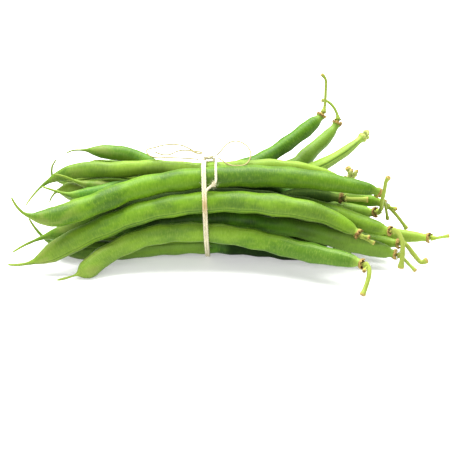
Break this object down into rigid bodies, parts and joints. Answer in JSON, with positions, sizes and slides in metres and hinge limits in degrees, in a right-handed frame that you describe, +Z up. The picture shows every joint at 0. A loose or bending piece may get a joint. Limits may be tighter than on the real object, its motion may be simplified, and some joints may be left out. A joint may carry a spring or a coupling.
{
  "type": "green bean bundle",
  "caption": "Bundle of fresh green beans lying on their sides, tied round the middle with two turns of thin white string that end in a small bow.",
  "frame": {"origin": "on the surface that the bundle lies on, under the middle of the beans and the tie", "axes": "+X along the beans towards their stalks, +Y towards the back, +Z up"},
  "size_m": [0.167, 0.0842, 0.0593],
  "materials": {
    "bean_green": "satin",
    "bean_light": "satin",
    "bean_deep": "satin",
    "string": "matt"
  },
  "bodies": {
    "root": {"bean_back": "bean_deep", "bean_bottom_front": "bean_deep", "bean_front_low": "bean_light", "bean_front_middle": "bean_green", "bean_front_top": "bean_green", "bean_inner_back": "bean_green", "bean_inner_front": "bean_deep", "bean_inner_low": "bean_green", "bean_inner_top": "bean_green", "bean_low_back": "bean_green", "bean_low_front": "bean_deep", "bean_low_middle": "bean_green", "bean_raised_left": "bean_deep", "bean_raised_middle": "bean_deep", "bean_raised_right": "bean_light", "bean_top": "bean_green", "bow_left": "string", "bow_right": "string", "string_tie": "string"}
  },
  "joints": []
}
